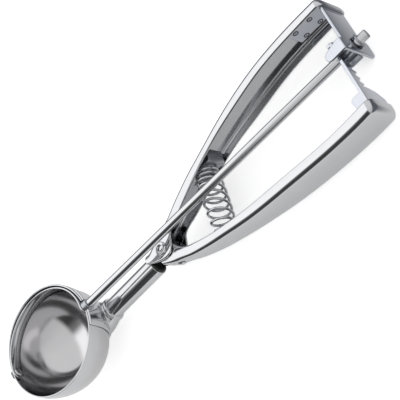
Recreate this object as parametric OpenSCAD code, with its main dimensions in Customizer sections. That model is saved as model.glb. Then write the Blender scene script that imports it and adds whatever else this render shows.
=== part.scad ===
// Lever scoop with a sweeping blade, pressed and welded from sheet and rod.
// X runs along the stem to the end of the handles, Y across, Z up from the table.
// The origin is the centre of the bowl's rim.

/* [Bowl] */
// Outer diameter at the rim
bowl_diameter = 50.8; // [40:0.1:70]
// Thickness of the bowl's sheet
bowl_wall = 0.8; // [0.6:0.05:1.2]
// Straight wall above the round part
bowl_skirt = 2.8; // [1:0.1:6]
// Turn of the rim about the rod, in degrees
bowl_roll = -3.2; // [-6:0.1:6]

/* [Rod and blade] */
// Diameter of the long rod
rod_diameter = 4; // [3:0.1:5]
// Depth of the rod's axis under the rim
rod_below_rim = 1.85; // [1.5:0.05:3]
// Fall of the rod towards the handles, in degrees
rod_pitch = 6.85; // [4:0.05:9]
// Turn of the rod towards the fixed handle, in degrees
rod_yaw = 3.15; // [1:0.05:5]
// Width of the blade's strip
blade_width = 6; // [4:0.1:8]
// Thickness of the blade
blade_thickness = 0.7; // [0.5:0.05:1]
// Space between the blade and the bowl
blade_gap = 0.6; // [0.4:0.05:1]
// Angle of the parked blade under the rim
blade_parked = 5; // [4:0.5:10]

/* [Stem] */
// Outer diameter of the stem tube
stem_diameter = 9.2; // [8:0.1:12]
// Wall of the stem tube
stem_wall = 0.8; // [0.6:0.05:1.2]
// Depth of the stem's axis under the rim's centre
stem_drop = 21.4; // [20:0.1:23]
// Sideways place of the stem's axis
stem_side = 1; // [0:0.1:2]
// Space from the end of the stem tube to the hinge
stem_end = 9.4; // [6.4:0.1:14.4]

/* [Handles] */
// Thickness of the handles' sheet
sheet = 1; // [0.8:0.05:1.3]
// Place of the hinge along the length
hinge_along = 66.4; // [65:0.1:70]
// Place of the hinge above the stem's axis
hinge_rise = 0.9; // [0:0.1:2]
// Diameter of the hinge pin
hinge_diameter = 4.4; // [3.6:0.1:5]
// Place of the bracket's strip along the length
handle_end = 187; // [175:0.5:205]
// Width over the handles' side walls
handle_width = 18.4; // [17:0.1:22]
// Largest rise of the fixed handle
fixed_rise = 31.4; // [29:0.1:34]
// Largest drop of the lever
lever_drop = 25.2; // [23:0.1:28]

/* [Rack and pinion] */
// Module of the teeth
tooth_module = 1; // [0.9:0.01:1.1]
// Teeth on the pinion
pinion_teeth = 10; // [10:1:12]
// Length of the pinion
pinion_length = 6; // [4:0.1:8]
// Play between the teeth
tooth_play = 0.3; // [0.15:0.01:0.5]
// Thickness of the rack plate
rack_plate = 1.5; // [1.2:0.1:2]

/* [Spring] */
// Wire of the spring
wire_diameter = 1.2; // [0.8:0.05:1.5]
// Outer diameter of the spring
spring_diameter = 12; // [10:0.1:12]
// Turns of the spring
spring_turns = 8; // [5:1:10]

/* [Hidden] */
bowl_r = bowl_diameter/2;
bowl_in = bowl_r - bowl_wall;
rod_r = rod_diameter/2;
stem_r = stem_diameter/2;
stem_x = hinge_along - stem_end;
blade_r = bowl_in - blade_gap;
blade_sweep = 180 - 2*blade_parked;
half_width = handle_width/2;
neck_half = stem_r + 0.05 + sheet;
ear_half = neck_half - sheet - 0.35;
pin_r = hinge_diameter/2;
pitch_r = tooth_module*pinion_teeth/2;
tooth_pitch = tooth_module*180*PI/180;
pressure = 25;
mesh_gap = 0.1;
rack_add = 0.85*tooth_module;
rack_back = 4.5;
rack_x = handle_end - rack_back;
plate_t = 1.5;
end_round = 3;
fixed_end = handle_end + plate_t + sheet + 0.05;
lever_end = rack_x + rack_plate/2 + sheet + 0.15;

// the rod's line in the table's frame
rim_up = [cos(rod_yaw)*sin(rod_pitch)*cos(bowl_roll) + sin(rod_yaw)*sin(bowl_roll),
          sin(rod_yaw)*sin(rod_pitch)*cos(bowl_roll) - cos(rod_yaw)*sin(bowl_roll),
          cos(rod_pitch)*cos(bowl_roll)];
rod_dir = [cos(rod_pitch)*cos(rod_yaw), cos(rod_pitch)*sin(rod_yaw), -sin(rod_pitch)];
function rod_at(x) = let (p = -rim_up*rod_below_rim) p + rod_dir*((x - p[0])/rod_dir[0]);
function rod_s(x) = (x + rim_up[0]*rod_below_rim)/rod_dir[0];

// the hinge and the rack's reach from it
hinge_y = stem_side + hinge_rise;
mesh_at = rod_at(rack_x);
reach = (rack_x - hinge_along)*cos(rod_yaw) + (mesh_at[1] - hinge_y)*sin(rod_yaw);
mesh_side = -(rack_x - hinge_along)*sin(rod_yaw) + (mesh_at[1] - hinge_y)*cos(rod_yaw);
travel = blade_sweep*pitch_r/reach;
tooth_start = (mesh_side + reach*sin(travel/2))/cos(travel/2);
echo(travel = travel, ratio = -reach/pitch_r, hinge = [hinge_along, hinge_y], rod = -rim_up*rod_below_rim,
     rod_dir = rod_dir, rim_up = rim_up);

// places of the stem's end, hinge, neck and strip that the outlines are drawn for
drawn = [57, 66.4, 78, 187];
// outlines of the two handles: along, outer edge, lip, half width, corner
fix_tab = [for (q = [
    [56, 5.6, 0.2, 0, 4.6], [58.5, 5.6, -1.2, 0, 4.6], [62, 6.2, -2.8, 0, 3.6], [66, 7.4, -3.9, 0, 3],
    [69, 8.3, -3.9, 0, 2.8], [71, 9, -2.6, 0, 2.6], [72.5, 9.5, 0.2, 0, 2.6], [74, 10, 3.4, 0, 2.6],
    [77, 11.2, 5.2, 0, 2.6], [82, 13.2, 6.9, 0.12, 2.6], [88, 15.4, 9.2, 0.24, 2.6], [96, 18.1, 12.3, 0.38, 2.6],
    [104, 20.4, 15.4, 0.47, 2.6], [112, 22.7, 17.9, 0.55, 2.6], [120, 24.8, 19.9, 0.68, 2.6],
    [130, 27, 21.8, 0.85, 2.6], [140, 28.9, 23.6, 0.95, 2.6], [150, 30.3, 25.2, 1, 2.6],
    [160, 31.1, 26.1, 1, 2.6], [172, 31.4, 26.4, 1, 2.6], [187, 31, 26.4, 1, 2.6], [191, 30.8, 26.3, 1, 2.6]])
    [stretch(q[0]), q[1] > 11 ? 11 + (q[1] - 11)*(fixed_rise - 11)/20.4 : q[1] + neck_half - 5.65,
     q[1] > 11 ? 11 + (q[1] - 11)*(fixed_rise - 11)/20.4 - (q[1] - q[2]) : q[2],
     neck_half + (half_width - neck_half)*q[3], q[4]]];
lev_tab = [for (q = [
    [62.6, -4.6, 0.2, 0, 1.4], [63.5, -5.2, 3.2, 0, 1.6], [66.4, -6.9, 4.5, 0, 2], [69.2, -8.2, 3.3, 0, 2.2],
    [71, -8.9, 0.8, 0, 2.4], [74, -10.2, -3.4, 0.04, 2.6], [78, -11.9, -6.3, 0.12, 2.6], [83, -13.6, -8.4, 0.26, 2.6],
    [90, -15.6, -10.8, 0.42, 2.6], [98, -17.4, -12.8, 0.54, 2.6], [106, -19.1, -14.3, 0.62, 2.6],
    [115, -20.7, -15.7, 0.7, 2.6], [125, -22.1, -16.9, 0.84, 2.6], [135, -23.2, -17.9, 0.96, 2.6],
    [145, -24.1, -18.8, 1, 2.6], [155, -24.8, -19.5, 1, 2.6], [165, -25.2, -19.9, 1, 2.6],
    [175, -25.2, -19.7, 1, 2.6], [186, -24.6, -19.1, 1, 2.6]])
    [stretch(q[0]), q[1] < -11 ? -11 + (q[1] + 11)*(lever_drop - 11)/14.2 : q[1],
     q[1] < -11 ? -11 + (q[1] + 11)*(lever_drop - 11)/14.2 - (q[1] - q[2]) : q[2],
     ear_half + (half_width - ear_half)*q[3], q[4]]];
// the stations move with those places
function stretch(x) = x < 60 ? x - drawn[0] + stem_x : x <= drawn[2] ? x - drawn[1] + hinge_along
    : hinge_along + drawn[2] - drawn[1]
        + (x - drawn[2])*(handle_end - hinge_along - drawn[2] + drawn[1])/(drawn[3] - drawn[2]);

// smooth curve through a table's stations
function seg(t, x, i = 0) = (i >= len(t) - 2 || x < t[i+1][0]) ? i : seg(t, x, i+1);
function grad(t, i, k) = let (a = max(i-1, 0), b = min(i+1, len(t)-1)) (t[b][k] - t[a][k])/(t[b][0] - t[a][0]);
function on(t, x, k) = let (i = seg(t, x), h = t[i+1][0] - t[i][0], u = (x - t[i][0])/h)
    (2*u*u*u - 3*u*u + 1)*t[i][k] + (u*u*u - 2*u*u + u)*h*grad(t, i, k)
    + (3*u*u - 2*u*u*u)*t[i+1][k] + (u*u*u - u*u)*h*grad(t, i+1, k);

// one ring of a channel: s is 1 with the web up, -1 with it down
function channel_ring(x, yo, yl, hw, rc, s, n = 4) = let (ri = max(rc - sheet, 0.2)) concat(
    [[x, yl, hw]],
    [for (i = [0:n]) let (a = 90*i/n) [x, yo - s*rc + s*rc*sin(a), hw - rc + rc*cos(a)]],
    [for (i = [0:n]) let (a = 90*i/n) [x, yo - s*rc + s*rc*cos(a), -hw + rc - rc*sin(a)]],
    [[x, yl, -hw], [x, yl, -hw + sheet]],
    [for (i = [0:n]) let (a = 90*i/n) [x, yo - s*rc + s*ri*sin(a), -hw + rc - ri*cos(a)]],
    [for (i = [0:n]) let (a = 90*i/n) [x, yo - s*rc + s*ri*cos(a), hw - rc + ri*sin(a)]],
    [[x, yl, hw - sheet]]);

// skin over a row of rings, each with the same count of points
module skin(rings, flip = false) {
    n = len(rings[0]);
    m = len(rings);
    pts = [for (r = rings) for (q = r) q];
    side = [for (i = [0:m-2]) for (j = [0:n-1]) let (a = i*n + j, b = i*n + (j+1)%n)
        each [[a, b, a + n], [b, b + n, a + n]]];
    half = n/2;
    cap = [for (i = [0:half-2]) each [[i, n-1-i, i+1], [i+1, n-1-i, n-2-i]]];
    ends = concat(cap, [for (c = cap) [c[2] + (m-1)*n, c[1] + (m-1)*n, c[0] + (m-1)*n]]);
    all = concat(side, ends);
    polyhedron(pts, flip ? [for (f = all) [f[2], f[1], f[0]]] : all, convexity = 6);
}
// channel from a table, closed by a rounded end wall at xe
function bend(x, xe) = x > xe - end_round
    ? end_round - sqrt(max(0, pow(end_round, 2) - pow(x - xe + end_round, 2))) : 0;
module channel(t, s, cuts, xe) {
    xs = [for (i = [0:len(t)-2]) for (j = [0:cuts-1]) let (x = t[i][0] + (t[i+1][0] - t[i][0])*j/cuts)
        if (x < xe - end_round - 0.5) x];
    tip = [for (k = [1, 0.75, 0.5, sheet/end_round]) xe - end_round*k];
    wall = [for (k = [sheet/end_round - 0.05, 0.18, 0.07, 0.01]) xe - end_round*k];
    skin(concat(
        [for (x = concat(xs, tip)) channel_ring(x, on(t, x, 1) - s*bend(x, xe), on(t, x, 2),
            on(t, x, 3) - bend(x, xe), on(t, x, 4), s)],
        [for (x = wall) let (h = on(t, x, 3) - bend(x, xe), y = on(t, x, 2),
            r = channel_ring(x, on(t, x, 1) - s*bend(x, xe), y, h, on(t, x, 4), s))
            concat([for (j = [0:11]) r[j]], [for (j = [0:11]) [x, y, (h - sheet)*(2*j/11 - 1)]])]), s < 0);
}

// frames
module in_handle() { translate([0, stem_side, -stem_drop]) children(); }
module in_bowl() { rotate([bowl_roll, rod_pitch, rod_yaw]) children(); }
module on_rod() { in_bowl() translate([0, 0, -rod_below_rim]) children(); }
module on_rod_level() { on_rod() rotate([-bowl_roll, 0, 0]) children(); }
module at_hinge() { translate([hinge_along, hinge_y, -stem_drop]) children(); }
module bar(r, x0, x1, f = 40) { translate([x0, 0, 0]) rotate([0, 90, 0]) cylinder(h = x1 - x0, r = r, $fn = f); }

// bowl, ferrule and stem
function arc(r, z, a0, a1, n) = [for (i = [0:n]) let (a = a0 + (a1 - a0)*i/n) [r*cos(a), z + r*sin(a)]];
module bowl_solid(r) {
    rotate_extrude($fn = 60) polygon(concat([[0, 4], [r, 4]], arc(r, -bowl_skirt, 0, -90, 13)));
}
module bowl() {
    color("#c3c8cc") in_bowl() difference() {
        rotate_extrude($fn = 60) polygon(concat([[bowl_in, 0], [bowl_r, 0]],
            arc(bowl_r, -bowl_skirt, 0, -90, 13), arc(bowl_in, -bowl_skirt, -90, 0, 13)));
        translate([0, 0, -rod_below_rim]) {
            bar(bush_r, bowl_in - 2, bowl_r + 2);
            bar(rivet_r + 0.02, -bowl_r - 2, -bowl_in + 2, 24);
        }
        translate([bowl_in - 2, -bush_r, -rod_below_rim]) cube([4, 2*bush_r, 6]);
    }
}
bush_r = rod_r + 0.75;
rivet_r = 1.2;
saddle_r = bowl_r + 0.9;
braze_gap = 0.05;
module ferrule() {
    color("#b7bcc1") difference() {
        union() {
            in_bowl() rotate([0, 0, -22]) rotate_extrude(angle = 44, $fn = 96) polygon(concat(
                [[bowl_r, -0.3], [saddle_r, -0.3]],
                arc(saddle_r, -bowl_skirt, 0, -52, 9), arc(bowl_r, -bowl_skirt, -52, 0, 9)));
            in_handle() skin([for (q = [[23.4, 0.95, 0.95, 0.95], [22.3, 1, 1.05, 0.95], [20.9, 1.7, 1.9, 1],
                [19.2, 2.8, 3.6, 1.1], [17, 4, 5.8, 1], [14, 4.9, 7.4, 0.4], [11, 4.9, 7.8, -0.6], [8, 4.5, 7.8, -2]])
                let (top = stem_r + q[2], low = -stem_r - q[3], hy = stem_r + q[1])
                [for (i = [0:35]) let (a = 5 + 10*i)
                    [q[0]*bowl_r/25.4, hy*cos(a), (top + low)/2 + (top - low)/2*sin(a)]]]);
        }
        in_bowl() bowl_solid(bowl_r + braze_gap);
        in_handle() bar(stem_r + 0.02, 0, 40, 48);
        on_rod() bar(bush_r + 0.03, bowl_in, bowl_r + 6);
        in_bowl() translate([bowl_in, -bush_r - 0.03, -rod_below_rim]) cube([6, 2*bush_r + 0.06, 6]);
    }
}
module rod_bush() {
    color("#a9adb2") on_rod() difference() {
        bar(bush_r, bowl_in - 0.3, saddle_r + 0.7);
        bar(rod_r + 0.06, bowl_in - 3, bowl_r + 3);
    }
}
module pivot_rivet() {
    color("#cdd1d4") on_rod() union() {
        bar(rivet_r, -bowl_r - 0.4, -blade_r + blade_thickness + 0.5, 24);
        translate([-blade_r + blade_thickness + 0.12, 0, 0]) bar(2.2, 0, 0.8, 24);
        translate([-bowl_r - 0.02, 0, 0]) rotate([0, -90, 0]) rotate_extrude($fn = 24)
            polygon([[0, -0.3], [rivet_r - 0.1, -0.3], [rivet_r - 0.1, 0.02], [2.5, 0.02], [2.4, 0.4], [1.9, 0.85],
                [1, 1.15], [0, 1.25]]);
    }
}
collar_x = 23.4*bowl_r/25.4;
module stem_collar() {
    color("#cdd1d4") in_handle() difference() {
        translate([collar_x, 0, 0]) rotate([0, 90, 0]) rotate_extrude($fn = 36)
            polygon([[stem_r, 0], [stem_r + 1, 0], [stem_r + 1.15, 0.5], [stem_r + 0.9, 1.1], [stem_r, 1.5]]);
        bar(stem_r, 10, 60);
    }
}
stem_start = 19.5*bowl_r/25.4;
module stem_tube() {
    color("#c3c8cc") difference() {
        in_handle() bar(stem_r, stem_start - 3, stem_x, 48);
        in_handle() bar(stem_r - stem_wall, 0, stem_x + 2, 48);
        in_bowl() bowl_solid(bowl_r + braze_gap);
    }
}
module stem_plug() {
    color("#151617") in_handle() translate([stem_x - 6, 0, 0]) rotate([0, 90, 0]) rotate_extrude($fn = 32)
        polygon([[0, 0], [stem_r - stem_wall, 0], [stem_r - stem_wall, 6], [stem_r - 0.25, 6],
            [stem_r - 0.25, 6.6], [stem_r - 0.6, 7], [0, 7.2]]);
}

// fixed handle with its bracket
module pin_hole(r) { at_hinge() cylinder(h = 40, r = r, center = true, $fn = 32); }
module fixed_handle() {
    color("#bfc4c8") difference() {
        in_handle() channel(fix_tab, 1, 2, fixed_end);
        pin_hole(pin_r);
    }
}
leaf_t = 1.2;
leaf_long = 20;
wing_w = 8.8;
wing_r = 2.2;
tab_w = 6;
tab_t = 1.1;
tab_long = 6;
strip_reach = 6.2;
weld_far = 15.2;
weld_near = 7;
weld_side = 3.1;
weld_r = 1.5;
function floor_y(x) = on(fix_tab, x, 1) - sheet - bend(x, fixed_end) - 0.03;
leaf_xs = [for (k = [0:8]) handle_end - leaf_long*(1 - k/8), handle_end + 0.5*plate_t, handle_end + plate_t];
strip_half = half_width - 1.8;
leaf_half = half_width - 3;
weld_list = [for (x = [weld_far, weld_near]) for (s = [-1, 1]) [handle_end - x - weld_r*s/3, weld_side*s]];
plate_low = rod_at(handle_end)[1] - stem_side - strip_reach;
rod_z = rod_at(handle_end)[2] + stem_drop;
module end_bracket() {
    color("#a4a9b0") in_handle() difference() {
        union() {
            // leaf on the handle's floor, then the strip down to the rod
            intersection() {
                linear_extrude(height = 2*strip_half, center = true) polygon(concat(
                    [for (x = leaf_xs) [x, floor_y(x)]],
                    [[handle_end + plate_t, plate_low], [handle_end, plate_low],
                     [handle_end, floor_y(handle_end) - leaf_t*5/3],
                     [handle_end - leaf_t/4, floor_y(handle_end) - leaf_t*7/6]],
                    [for (i = [len(leaf_xs)-4:-1:0]) [leaf_xs[i], floor_y(leaf_xs[i]) - leaf_t]]));
                hull() {
                    translate([handle_end - 0.95*leaf_long, 0, -leaf_half + plate_t])
                        cube([1, 60, 2*(leaf_half - plate_t)]);
                    translate([handle_end - 0.85*leaf_long, 0, -leaf_half]) cube([leaf_long, 60, 2*leaf_half]);
                }
            }
            translate([handle_end, plate_low, -strip_half])
                cube([plate_t, floor_y(handle_end + plate_t) - 2*leaf_t - plate_low, 2*strip_half]);
            // wing towards the table side, round at the end
            hull() for (y = [plate_low + wing_r, plate_low + wing_w - wing_r])
                translate([handle_end, y, -half_width]) rotate([0, 90, 0]) cylinder(h = plate_t, r = wing_r, $fn = 28);
            translate([handle_end, plate_low, -half_width]) cube([plate_t, wing_w, half_width]);
            // tab over the rack, folded back along the rod
            translate([handle_end, plate_low, strip_half - 1]) cube([plate_t, tab_w, tab_z - strip_half + 1 + tab_t]);
            hull() {
                translate([handle_end - 1, plate_low, tab_z]) cube([1 + plate_t, tab_w, tab_t]);
                translate([handle_end - tab_long, plate_low + 0.4*tab_w, tab_z])
                    cylinder(h = tab_t, r = 0.4*tab_w, $fn = 28);
            }
        }
        translate([handle_end - 3, rod_at(handle_end)[1] - stem_side, rod_z]) rotate([0, 90, 0])
            cylinder(h = 8, r = rod_r + 0.45, $fn = 32);
    }
}
tab_z = half_width - 0.7;
module bracket_welds() {
    color("#8e9399") in_handle() for (w = weld_list)
        translate([w[0], floor_y(w[0]) - leaf_t - 0.06, w[1]]) rotate([90, 0, 0]) rotate_extrude($fn = 20)
            polygon(weld_r*[[0, 0], [1, 0], [0.9, 0.15], [0.47, 0.2], [0, 0.08]]);
}
module hinge_pin() {
    color("#cdd1d4") at_hinge() difference() {
        union() {
            cylinder(h = 2*neck_half, r = pin_r, center = true, $fn = 32);
            for (s = [0, 180]) rotate([s, 0, 0]) translate([0, 0, neck_half]) rotate_extrude($fn = 32)
                polygon([[0, -0.1], [pin_r - 0.1, -0.1], [pin_r - 0.1, 0.02], [pin_r + 0.9, 0.02], [pin_r + 0.95, 0.4],
                    [pin_r + 0.5, 0.9], [0, 0.9]]);
        }
        cylinder(h = 40, r = pin_r - 0.85, center = true, $fn = 24);
    }
}

// lever
module lever_handle() {
    color("#bfc4c8") difference() {
        in_handle() channel(lev_tab, -1, 2, lever_end);
        pin_hole(pin_r + 0.08);
        at_neck() cylinder(h = 8, r = neck_rivet_r + 0.02, center = true, $fn = 24);
    }
}
module hinge_spacer() {
    color("#9fa4a9") at_hinge() difference() {
        cylinder(h = 2*(ear_half - sheet), r = pin_r + 0.9, center = true, $fn = 36);
        cylinder(h = 40, r = pin_r + 0.08, center = true, $fn = 32);
    }
}

// rack plate in the lever, drawn at the middle of the travel and turned back to rest
rack_low = tooth_start - 6.5*tooth_pitch;
rack_top = tooth_start + 1.9*tooth_module;
pitch_z = rod_at(rack_x)[2] + pitch_r/cos(rod_pitch) + mesh_gap + stem_drop;
rack_side = 0.75;
rack_near = half_width - sheet - rack_side;
flange_t = 1;
rack_weld_drop = 7.5;
rack_weld_side = 4.5;
module at_rack() {
    at_hinge() rotate([0, 0, rod_yaw - travel/2]) translate([reach, 0, 0]) children();
}
function rack_teeth(n) = let (w = (tooth_pitch/2 - tooth_play/2)/2, t = tan(pressure), r = 1.2*tooth_module)
    [for (i = [n:-1:0]) let (c = tooth_start - i*tooth_pitch) each
        [[c - w - r*t, pitch_z + r], [c - w + rack_add*t, pitch_z - rack_add],
         [c + w - rack_add*t, pitch_z - rack_add], [c + w + r*t, pitch_z + r]]];
module rack() {
    m = tooth_module;
    color("#a4a9b0") at_rack() {
        // plate with the teeth towards the pinion
        translate([-rack_plate/2, 0, 0]) rotate([90, 0, 90]) linear_extrude(height = rack_plate) polygon(concat(
                [[rack_base, rack_near], [rack_base, -rack_near], [rack_low - 4*m, -rack_near],
                 [rack_low - m, -rack_near + 4*m], [rack_low + 0.2*m, pitch_z - 1.5*m]],
                rack_teeth(6),
                [[rack_top, pitch_z + 0.6*m], [rack_top + 0.8*m, pitch_z + 1.6*m],
                 [rack_top + 0.8*m, rack_near - 1.2*m], [rack_top, rack_near]]));
        // turned stop at the top and flanges by the side walls
        translate([-rack_plate/2 - 1.6*m, rack_top - 0.6*m, pitch_z + 2.2*m])
            cube([1.8*m, 1.4*m, rack_near - pitch_z - 3*m]);
        for (s = [-1, 1]) translate([-rack_plate/2, 0, s > 0 ? rack_near - flange_t : -rack_near]) hull() {
            translate([-0.5*m, rack_base, 0]) cube([0.5*m, rack_low - rack_base - 2.5*m, flange_t]);
            translate([-3.2*m, rack_low - 4.2*m, 0]) cylinder(h = flange_t, r = 1.7*m, $fn = 28);
            translate([-3.6*m, rack_base, 0]) cube([m, 2*m, flange_t]);
        }
    }
}
rack_base = -(rack_x - hinge_along)*sin(rod_yaw - travel/2)
    + (on(lev_tab, rack_x, 1) + sheet + rack_side - hinge_rise)*cos(rod_yaw - travel/2);
module rack_welds() {
    color("#8e9399") at_rack() for (z = [-rack_weld_side, 0, rack_weld_side])
        translate([-rack_plate/2, rack_low - rack_weld_drop, z]) rotate([0, -90, 0]) rotate_extrude($fn = 20)
            polygon((weld_r - 0.1)*[[0, 0], [1, 0], [0.86, 0.16], [0.43, 0.21], [0, 0.09]]);
}

// long rod, pinion, blade
rod_tail = rod_s(handle_end + plate_t) + 5.2;
pin_back = 0.95;
pin_face = rod_s(handle_end) - pin_back;
root_r = 1.4;
peen_r = 2.3;
module rod() {
    color("#d2d5d8") on_rod() union() {
        bar(rod_r, blade_r, rod_tail - 0.4, 40);
        translate([rod_tail - 0.4, 0, 0]) rotate([0, 90, 0]) cylinder(h = 0.4, r1 = rod_r, r2 = rod_r - 0.4, $fn = 40);
        bar(root_r, blade_r - blade_thickness - 0.4, blade_r + 0.4, 24);
    }
}
module root_peen() {
    color("#cdd1d4") on_rod() difference() {
        translate([blade_r - blade_thickness - 0.03, 0, 0]) rotate([0, -90, 0]) rotate_extrude($fn = 28)
            polygon([[0, 0], [peen_r, 0], [peen_r - 0.1, 0.35], [peen_r - 0.7, 0.75], [0, 0.95]]);
        bar(root_r + 0.02, blade_r - blade_thickness - 0.42, blade_r + 0.4, 24);
    }
}
module rod_washer() {
    color("#9fa4a9") on_rod() difference() {
        bar(rod_r + 1.1, rod_s(handle_end + plate_t) + 0.5, rod_s(handle_end + plate_t) + 1.3, 36);
        bar(rod_r, 100, 260);
    }
}
base_r = pitch_r*cos(pressure);
function inv(a) = tan(a)*180/PI - a;
function flank(r) = (tooth_pitch/2 - tooth_play/2)/2/pitch_r*180/PI
    + inv(pressure) - inv(acos(min(1, base_r/r)));
module pinion() {
    ra = pitch_r + tooth_module*0.95;
    rr = pitch_r - tooth_module*1.15;
    rs = [rr, base_r, base_r + 0.3*(ra - base_r), base_r + 0.65*(ra - base_r), ra];
    color("#8b9096") on_rod_level() translate([pin_face - pinion_length, 0, 0]) difference() {
        rotate([90, 0, 90]) linear_extrude(height = pinion_length) polygon([for (k = [0:pinion_teeth-1])
            let (c = 90 + (k + 0.5)*360/pinion_teeth) each concat(
            [for (r = rs) r*[cos(c - flank(max(r, base_r))), sin(c - flank(max(r, base_r)))]],
            [for (i = [4:-1:0]) rs[i]*[cos(c + flank(max(rs[i], base_r))), sin(c + flank(max(rs[i], base_r)))]])]);
        bar(rod_r, -2, pinion_length + 2);
    }
}
module blade() {
    color("#cfd3d6") on_rod() rotate([-blade_parked, 0, 0]) difference() {
        union() {
            rotate_extrude(angle = 180, $fn = 104)
                translate([blade_r - blade_thickness, -blade_width/2]) square([blade_thickness, blade_width]);
            bar(blade_width/2, blade_r - blade_thickness, blade_r, 36);
            bar(blade_width/2, -blade_r, -blade_r + blade_thickness, 36);
        }
        bar(root_r + 0.02, 0, 40, 24);
        bar(rivet_r + 0.08, -40, 0, 24);
        // flat spots under the two heads
        for (s = [0, 180]) rotate([0, 0, s])
            bar(peen_r + 0.2, blade_r - blade_thickness - 2, blade_r - blade_thickness, 32);
    }
}

// spring between the two handles
spring_x = stretch(98.3);
spring_in = 0.178;
seat_top = on(fix_tab, spring_x + 3, 1) - sheet - 2.2;
seat_low = on(lev_tab, spring_x - 2.6, 1) + sheet + 2.2;
spring_len = (seat_top - seat_low)/cos(atan(spring_in));
spring_lift = -0.5;
coil_r = spring_diameter/2 - wire_diameter/2 - 0.7;
function belly(u) = coil_r + 0.65*sin(180*u);
// local frame: origin on the lower seat, Z along the spring
module at_spring() {
    in_handle() translate([spring_x + spring_in*seat_low, seat_low, spring_lift])
        rotate([0, 0, -atan(spring_in)]) rotate([-90, 0, 0]) children();
}
turn_steps = 8;
tail = wire_diameter*1.15;
coil_path = let (n = spring_turns*turn_steps, h = spring_len - 2*tail) concat(
    [[coil_r, 0, 0], [coil_r, 0, tail - 0.3]],
    [for (i = [0:n]) let (a = 360*i/turn_steps + 10) [belly(i/n)*cos(a), belly(i/n)*sin(a), tail + h*i/n]],
    [[coil_r*cos(25), coil_r*sin(25), spring_len - tail + 0.3], [coil_r*cos(25), coil_r*sin(25), spring_len]]);
function unit(v) = v/norm(v);
function way(p, i) = i == 0 || i == len(p) - 1 ? [0, 0, 1] : unit(unit(p[i+1] - p[i]) + unit(p[i] - p[i-1]));
function hex_ring(c, d) =
    let (w = unit(cross(d, abs(d[2]) > 0.95 ? unit([c[1], -c[0], 0]) : [0, 0, 1])), u = cross(w, d))
    [for (k = [0:5]) c + wire_diameter/2*(cos(60*k)*u + sin(60*k)*w)];
module spring() {
    color("#b9bec3") at_spring()
        skin([for (i = [0:len(coil_path)-1]) hex_ring(coil_path[i], way(coil_path, i))], true);
}
coil_gap = min([for (i = [0:2:len(coil_path)-1]) for (j = [i+5:1:len(coil_path)-1])
    norm(coil_path[i] - coil_path[j])]) - wire_diameter;
echo(least_gap_of_the_spring_to_itself = coil_gap, spring_length = spring_len);

// seats under the spring's two ends, each held by a rivet
seat_rivet_r = 1.2;
module at_top_seat() {
    in_handle() translate([spring_x + spring_in*seat_top, seat_top, spring_lift])
        rotate([0, 0, -atan(spring_in)]) rotate([-90, 0, 0]) children();
}
module at_low_seat() {
    in_handle() translate([spring_x + spring_in*seat_low, seat_low, spring_lift])
        rotate([0, 0, -atan(spring_in)]) rotate([90, 0, 0]) children();
}
module seat_rivet() {
    cylinder(h = 1.6, r = seat_rivet_r, $fn = 24);
    translate([0, 0, -0.7]) cylinder(h = 0.7, r1 = seat_rivet_r + 0.5, r2 = seat_rivet_r + 1.1, $fn = 28);
}
module fixed_spring_seat() {
    color("#3f4347") difference() {
        in_handle() union() {
            intersection() {
                translate([spring_x + spring_in*seat_top, seat_top, spring_lift]) rotate([0, 0, -atan(spring_in)])
                    translate([-6.5, 0, -5 - spring_lift]) cube([14, 8, 10]);
                linear_extrude(height = 30, center = true) polygon(concat(
                    [for (x = [spring_x - 8:2:spring_x + 14]) [x, on(fix_tab, x, 1) - sheet - 0.02]],
                    [[spring_x + 14, 0], [spring_x - 8, 0]]));
            }
        }
        at_top_seat() cylinder(h = 20, r = seat_rivet_r, center = true, $fn = 24);
    }
}
module fixed_seat_rivet() {
    color("#9fa4a9") at_top_seat() seat_rivet();
}
module lever_spring_seat() {
    color("#8e9399") difference() {
        in_handle() intersection() {
            translate([spring_x + spring_in*seat_low, seat_low, spring_lift]) rotate([0, 0, -atan(spring_in)])
                translate([-6.5, -8, -4.3 - spring_lift]) cube([13, 8, 8.6]);
            linear_extrude(height = 30, center = true) polygon(concat(
                [for (x = [spring_x - 14:2:spring_x + 12]) [x, on(lev_tab, x, 1) + sheet + 0.02]],
                [[spring_x + 12, 0], [spring_x - 14, 0]]));
        }
        at_low_seat() cylinder(h = 20, r = seat_rivet_r, center = true, $fn = 24);
    }
}
module lever_seat_rivet() {
    color("#9fa4a9") at_low_seat() seat_rivet();
}

// stiffener in the lever's neck with its rivet
stiff_x = hinge_along + 2.6;
stiff_half = ear_half - 2.6;
neck_rivet_r = 1;
neck_tilt = atan((on(lev_tab, stiff_x + 1.5, 1) - on(lev_tab, stiff_x - 1.5, 1))/3);
module at_neck() {
    in_handle() translate([stiff_x, on(lev_tab, stiff_x, 1), 0])
        rotate([0, 0, neck_tilt]) rotate([-90, 0, 0]) children();
}
module neck_stiffener() {
    color("#9fa4a9") difference() {
        in_handle() intersection() {
            translate([stiff_x - 4, -20, -stiff_half]) cube([12, 30, 2*stiff_half]);
            linear_extrude(height = 30, center = true) polygon(concat(
                [for (x = [stiff_x - 6:1:stiff_x + 8]) [x, on(lev_tab, x, 1) + sheet + 0.06]],
                [for (x = [stiff_x + 8:-1:stiff_x - 6]) [x, on(lev_tab, x, 1) + sheet + 1]]));
        }
        at_neck() cylinder(h = 12, r = neck_rivet_r + 0.02, center = true, $fn = 24);
    }
}
module neck_rivet() {
    color("#cdd1d4") at_neck() union() {
        translate([0, 0, -0.3]) cylinder(h = sheet + 1.6, r = neck_rivet_r, $fn = 24);
        translate([0, 0, -0.7]) cylinder(h = 0.6, r1 = neck_rivet_r + 0.3, r2 = neck_rivet_r + 0.9, $fn = 28);
        translate([0, 0, sheet + 1.1]) cylinder(h = 0.6, r1 = neck_rivet_r + 0.8, r2 = neck_rivet_r + 0.3, $fn = 28);
    }
}

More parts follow.
